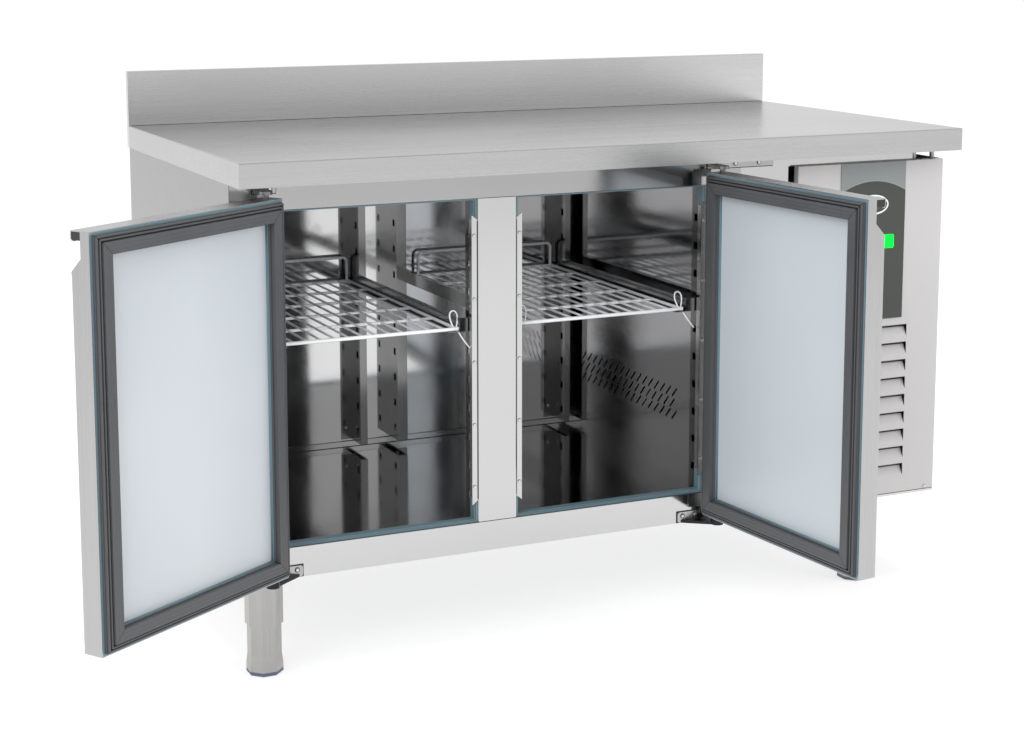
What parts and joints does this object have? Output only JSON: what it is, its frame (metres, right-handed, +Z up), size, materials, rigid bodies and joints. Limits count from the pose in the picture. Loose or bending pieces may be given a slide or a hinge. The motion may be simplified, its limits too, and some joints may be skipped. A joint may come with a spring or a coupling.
{
  "type": "undercounter refrigerator",
  "caption": "Stainless undercounter refrigerator with hinged doors, wire shelves, rear upstand, adjustable legs and a louvred side compressor compartment.",
  "frame": {"origin": "the floor, under the middle of the outline that the cabinet and its open doors cover", "axes": "+X along the front from the doors to the compressor, +Y to the back, +Z up"},
  "size_m": [1.66, 1.0748, 0.95],
  "materials": {
    "worktop_steel": "brushed satin stainless steel",
    "cabinet_steel": "brushed satin stainless steel",
    "frame_steel": "bright annealed stainless steel",
    "hinge_steel": "zinc-plated, satin",
    "liner_steel": "polished",
    "rack_steel": "polished",
    "door_steel": "brushed satin stainless steel",
    "leg_steel": "satin",
    "core_board": "matte",
    "foam": "matte",
    "break_plastic": "satin",
    "gasket_rubber": "satin",
    "door_liner_plastic": "satin",
    "shelf_coating": "gloss",
    "buffer_rubber": "matte",
    "cover_paint": "satin",
    "fascia_film": "satin",
    "display_lens": "gloss",
    "key_plastic": "satin",
    "machine_black": "satin",
    "fin_aluminium": "satin",
    "pipe_copper": "satin",
    "fan_plastic": "satin",
    "tray_plastic": "matte",
    "gland_plastic": "satin",
    "galvanised": "satin",
    "screw_steel": "polished"
  },
  "bodies": {
    "cabinet": {"worktop": "worktop_steel", "upstand": "worktop_steel", "worktop_core": "core_board", "worktop_spacers": "galvanised", "side_panels": "cabinet_steel", "rear_panel": "cabinet_steel", "base_panels": "galvanised", "partition_panel": "galvanised", "insulation_foam": "foam", "top_rail": "frame_steel", "lower_rail": "frame_steel", "door_jambs": "frame_steel", "mullion": "frame_steel", "thermal_breaks": "break_plastic", "jamb_strips": "frame_steel", "inner_liner": "liner_steel", "evaporator_cover": "liner_steel", "front_rack_rails": "rack_steel", "rear_rack_posts": "rack_steel", "shelf_runners": "rack_steel", "hinge_brackets": "hinge_steel", "leg_tubes": "leg_steel", "compartment_front_panel": "frame_steel", "compressor_cover": "cover_paint", "control_fascia": "fascia_film", "display_window": "display_lens", "electrical_box": "gland_plastic", "cable_gland": "gland_plastic", "compressor": "machine_black", "compressor_mounts": "buffer_rubber", "condenser_coil": "fin_aluminium", "condenser_fan_shroud": "galvanised", "evaporation_tray": "tray_plastic", "refrigerant_pipes": "pipe_copper", "evaporator_coil": "fin_aluminium", "evaporator_fan_frame": "fan_plastic", "screws": "screw_steel"},
    "left_door": {"left_door_skin": "door_steel", "left_door_handle": "door_steel", "left_door_foam": "foam", "left_door_edge_frame": "break_plastic", "left_door_liner": "door_liner_plastic", "left_door_gasket": "gasket_rubber"},
    "right_door": {"right_door_skin": "door_steel", "right_door_handle": "door_steel", "right_door_foam": "foam", "right_door_edge_frame": "break_plastic", "right_door_liner": "door_liner_plastic", "right_door_gasket": "gasket_rubber"},
    "left_shelf": {"left_shelf": "shelf_coating"},
    "right_shelf": {"right_shelf": "shelf_coating"},
    "condenser_fan": {"condenser_fan": "fan_plastic"},
    "evaporator_fan": {"evaporator_fan": "fan_plastic"},
    "power_button": {"power_button": "key_plastic"},
    "left_key": {"left_key": "key_plastic"},
    "right_key": {"right_key": "key_plastic"},
    "front_left_foot": {"front_left_foot": "leg_steel"},
    "front_right_foot": {"front_right_foot": "leg_steel"},
    "rear_left_foot": {"rear_left_foot": "leg_steel"},
    "rear_right_foot": {"rear_right_foot": "leg_steel"}
  },
  "joints": [
    {"name": "left_door_hinge", "type": "hinge", "parent": "cabinet", "child": "left_door", "pos_m": [-0.48001, -0.12755, 0.486], "axis": [0, 0, -1], "range_deg": [-147, 18]},
    {"name": "right_door_hinge", "type": "hinge", "parent": "cabinet", "child": "right_door", "pos_m": [0.34199, -0.12755, 0.486], "axis": [0, 0, 1], "range_deg": [-95.2, 69.8]},
    {"name": "left_shelf_slide", "type": "slide", "parent": "cabinet", "child": "left_shelf", "axis": [0, -1, 0], "range_m": [0, 0.3]},
    {"name": "right_shelf_slide", "type": "slide", "parent": "cabinet", "child": "right_shelf", "axis": [0, -1, 0], "range_m": [0, 0.3]},
    {"name": "condenser_fan_spin", "type": "hinge", "parent": "cabinet", "child": "condenser_fan", "pos_m": [0.66999, 0.05045, 0.335], "axis": [0, 1, 0], "continuous": true},
    {"name": "evaporator_fan_spin", "type": "hinge", "parent": "cabinet", "child": "evaporator_fan", "pos_m": [0.34699, 0.17745, 0.37], "axis": [1, 0, 0], "continuous": true},
    {"name": "power_button_press", "type": "slide", "parent": "cabinet", "child": "power_button", "axis": [0, 1, 0], "range_m": [0, 0.0015], "stiffness_N_per_m": 300},
    {"name": "left_key_press", "type": "slide", "parent": "cabinet", "child": "left_key", "axis": [0, 1, 0], "range_m": [0, 0.0015], "stiffness_N_per_m": 300},
    {"name": "right_key_press", "type": "slide", "parent": "cabinet", "child": "right_key", "axis": [0, 1, 0], "range_m": [0, 0.0015], "stiffness_N_per_m": 300},
    {"name": "front_left_foot_adjust", "type": "slide", "parent": "cabinet", "child": "front_left_foot", "axis": [0, 0, -1], "range_m": [0, 0.03]},
    {"name": "front_right_foot_adjust", "type": "slide", "parent": "cabinet", "child": "front_right_foot", "axis": [0, 0, -1], "range_m": [0, 0.03]},
    {"name": "rear_left_foot_adjust", "type": "slide", "parent": "cabinet", "child": "rear_left_foot", "axis": [0, 0, -1], "range_m": [0, 0.03]},
    {"name": "rear_right_foot_adjust", "type": "slide", "parent": "cabinet", "child": "rear_right_foot", "axis": [0, 0, -1], "range_m": [0, 0.03]}
  ]
}
